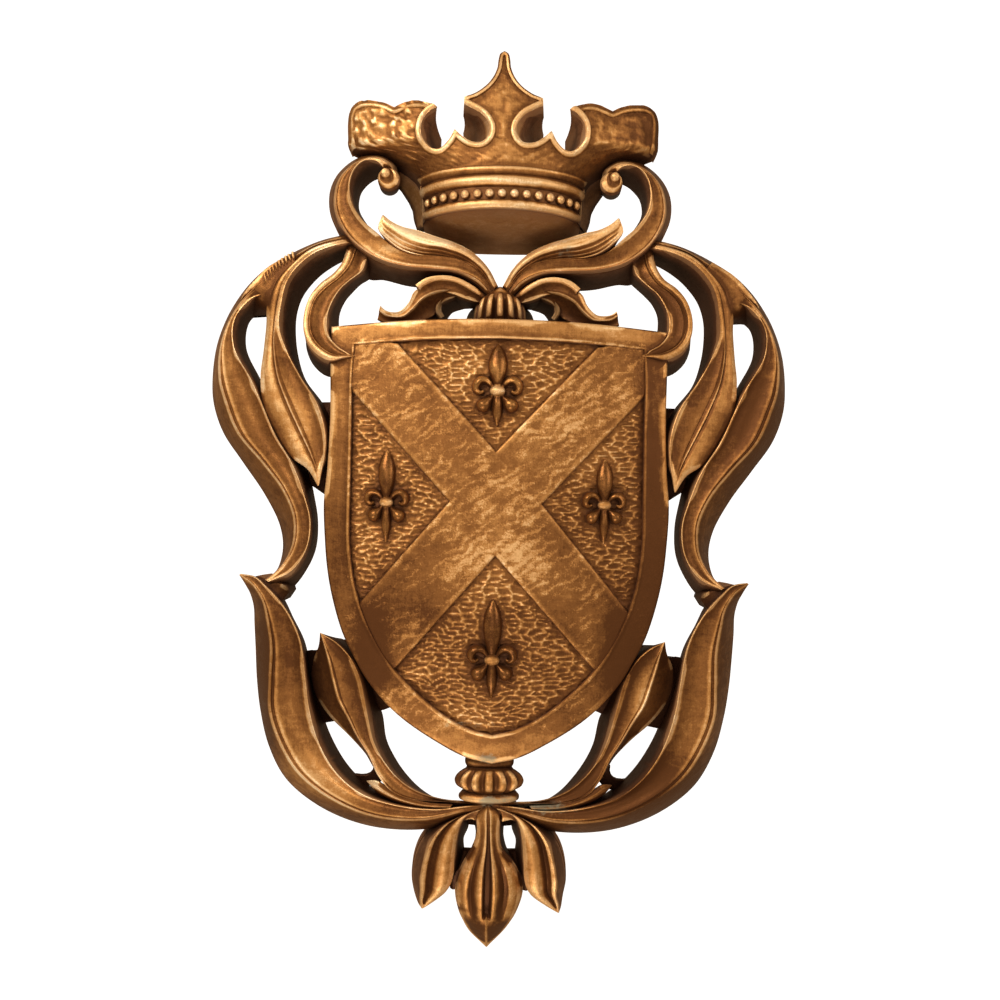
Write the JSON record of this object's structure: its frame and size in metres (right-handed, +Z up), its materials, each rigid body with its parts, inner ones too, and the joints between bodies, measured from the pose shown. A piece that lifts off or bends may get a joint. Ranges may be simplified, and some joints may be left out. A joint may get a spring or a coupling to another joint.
{
  "type": "carved coat of arms wall plaque",
  "caption": "Openwork wall coat of arms: crown over a shield with a saltire and lilies, framed by scrolled leaves, cast in one piece with a flat back.",
  "frame": {"origin": "on the flat back, behind the middle of the shield, where the plaque lies on the wall", "axes": "+Z up along the plaque's length, +X to the viewer's right, +Y out of the back into the wall; the relief faces -Y"},
  "size_m": [0.4112, 0.0615, 0.6108],
  "materials": {
    "antique_gold": "aged gilt brass, rubbed bright on the ridges, brown patina in the hollows"
  },
  "bodies": {
    "root": {"coat_of_arms": "antique_gold"}
  },
  "joints": []
}
